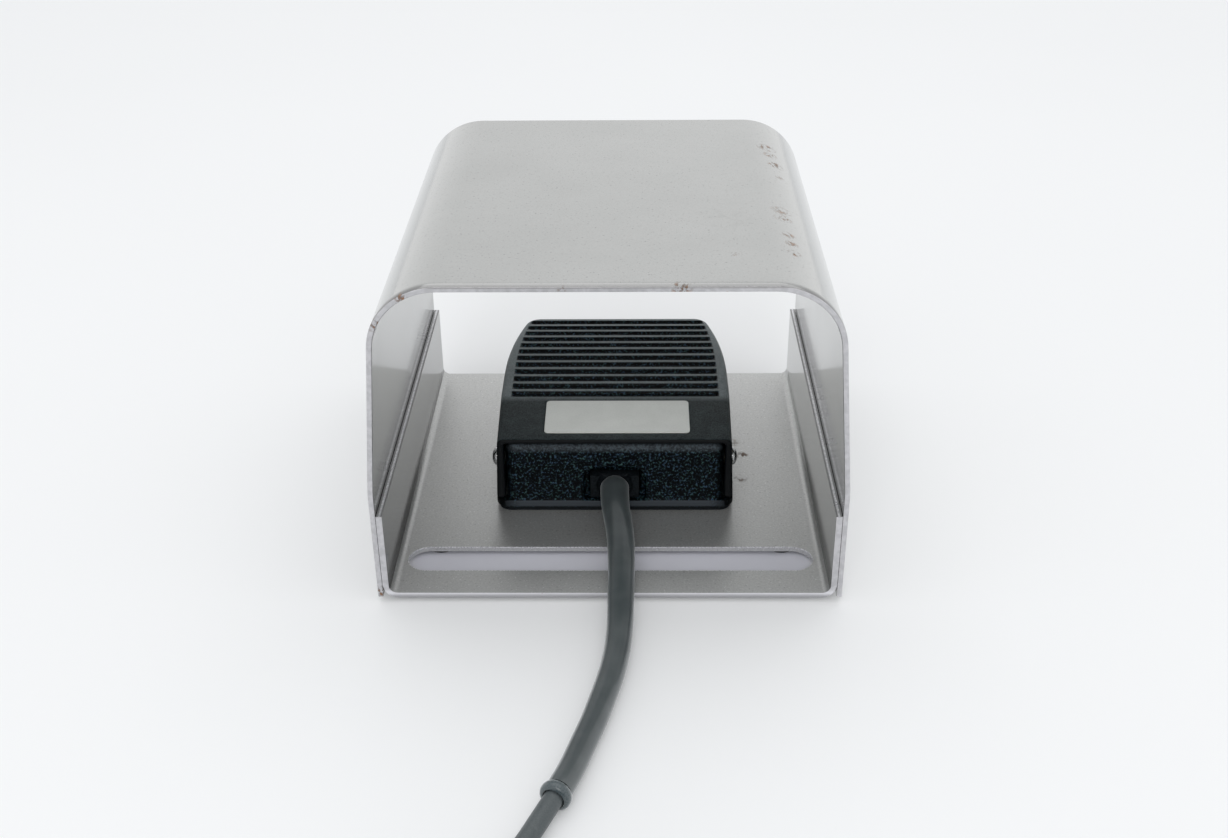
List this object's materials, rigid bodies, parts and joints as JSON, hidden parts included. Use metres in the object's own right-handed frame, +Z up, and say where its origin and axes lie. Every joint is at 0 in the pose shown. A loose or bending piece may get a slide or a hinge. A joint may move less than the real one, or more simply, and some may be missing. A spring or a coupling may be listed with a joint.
{
  "type": "guarded foot switch",
  "caption": "Foot switch with a ribbed cast treadle inside a folded sheet-steel foot guard, with a tapered bend relief and a coiled low-voltage cord that ends in a phone plug.",
  "frame": {"origin": "on the floor, under the centre of the guard's footprint", "axes": "+Z up, +Y towards the side the foot goes in from, -Y towards the side the cord leaves, +X to the right seen from the cord side"},
  "size_m": [0.165, 0.4243, 0.1232],
  "materials": {
    "plated_steel": "zinc-plated mild-steel sheet, satin grey with a fine mottled grain, faint smudges and small rust spots on the cut edges",
    "weld_metal": "dull grey stitch welds",
    "black_casting": "black wrinkle powder coat on a die casting",
    "black_steel": "black painted sheet steel",
    "bright_steel": "bright nickel plate",
    "spring_steel": "bare spring steel",
    "brass": "plain brass",
    "black_rubber": "matt black rubber",
    "grey_rubber": "glossy dark grey moulded vinyl",
    "cord_jacket": "satin dark grey vinyl jacket",
    "label_film": "pale satin film, left blank",
    "black_plastic": "fine-grained moulded black plastic",
    "red_plastic": "plain red plastic",
    "white_plastic": "plain white plastic"
  },
  "bodies": {
    "base": {"guard_hood": "plated_steel", "guard_tray": "plated_steel", "weld_left_cord": "weld_metal", "weld_left_toe": "weld_metal", "weld_right_cord": "weld_metal", "weld_right_toe": "weld_metal", "foot_left_cord": "black_rubber", "foot_left_toe": "black_rubber", "foot_right_cord": "black_rubber", "foot_right_toe": "black_rubber", "switch_housing": "black_casting", "bottom_plate": "black_steel", "housing_gasket": "black_rubber", "cord_gland": "black_rubber", "pivot_screw_left": "bright_steel", "pivot_screw_right": "bright_steel", "housing_screw_cord_left": "bright_steel", "housing_screw_cord_right": "bright_steel", "housing_screw_toe_left": "bright_steel", "housing_screw_toe_right": "bright_steel", "plunger_seal": "black_rubber", "return_spring": "spring_steel", "stop_pad_left": "black_rubber", "stop_pad_right": "black_rubber", "snap_switch": "black_plastic", "lever_pin": "bright_steel", "switch_bracket": "plated_steel", "snap_screw_1": "bright_steel", "snap_screw_2": "bright_steel", "bracket_screw_1": "bright_steel", "bracket_screw_2": "bright_steel", "terminal_1": "brass", "terminal_2": "brass", "terminal_3": "brass", "common_wire": "red_plastic", "switched_wire": "white_plastic", "bend_relief": "grey_rubber", "relief_ring": "black_rubber", "cord_run": "cord_jacket", "cord_coil": "cord_jacket", "cord_tail": "cord_jacket", "coil_tie": "black_plastic", "plug_grip": "black_plastic", "plug_collar": "bright_steel", "plug_shaft": "bright_steel", "plug_insulator": "black_plastic", "plug_tip": "bright_steel"},
    "treadle": {"treadle": "black_casting", "label_plate": "label_film", "pivot_bushing_left": "brass", "pivot_bushing_right": "brass"},
    "plunger": {"plunger": "white_plastic"},
    "lever": {"snap_lever": "spring_steel"},
    "button": {"snap_button": "red_plastic"}
  },
  "joints": [
    {"name": "treadle_press", "type": "hinge", "parent": "base", "child": "treadle", "pos_m": [0.0013, -0.0231, 0.0242], "axis": [-1, 0, 0], "range_deg": [0, 3.5], "stiffness_Nm_per_rad": 6, "springref_deg": -5.73, "deforming": ["return_spring"]},
    {"name": "plunger_slide", "type": "slide", "parent": "base", "child": "plunger", "axis": [0, 0, -1], "range_m": [0, 0.0029]},
    {"name": "lever_swing", "type": "hinge", "parent": "base", "child": "lever", "pos_m": [0.0013, 0.0079, 0.0217], "axis": [-1, 0, 0], "range_deg": [0, 10.6]},
    {"name": "button_slide", "type": "slide", "parent": "base", "child": "button", "axis": [0, 0, -1], "range_m": [0, 0.0012]}
  ],
  "couplings": [
    {"joint": "plunger_slide", "follows": "treadle_press", "m_per_rad": 0.0465},
    {"joint": "lever_swing", "follows": "treadle_press", "ratio": 3},
    {"joint": "button_slide", "follows": "treadle_press", "m_per_rad": 0.018}
  ]
}
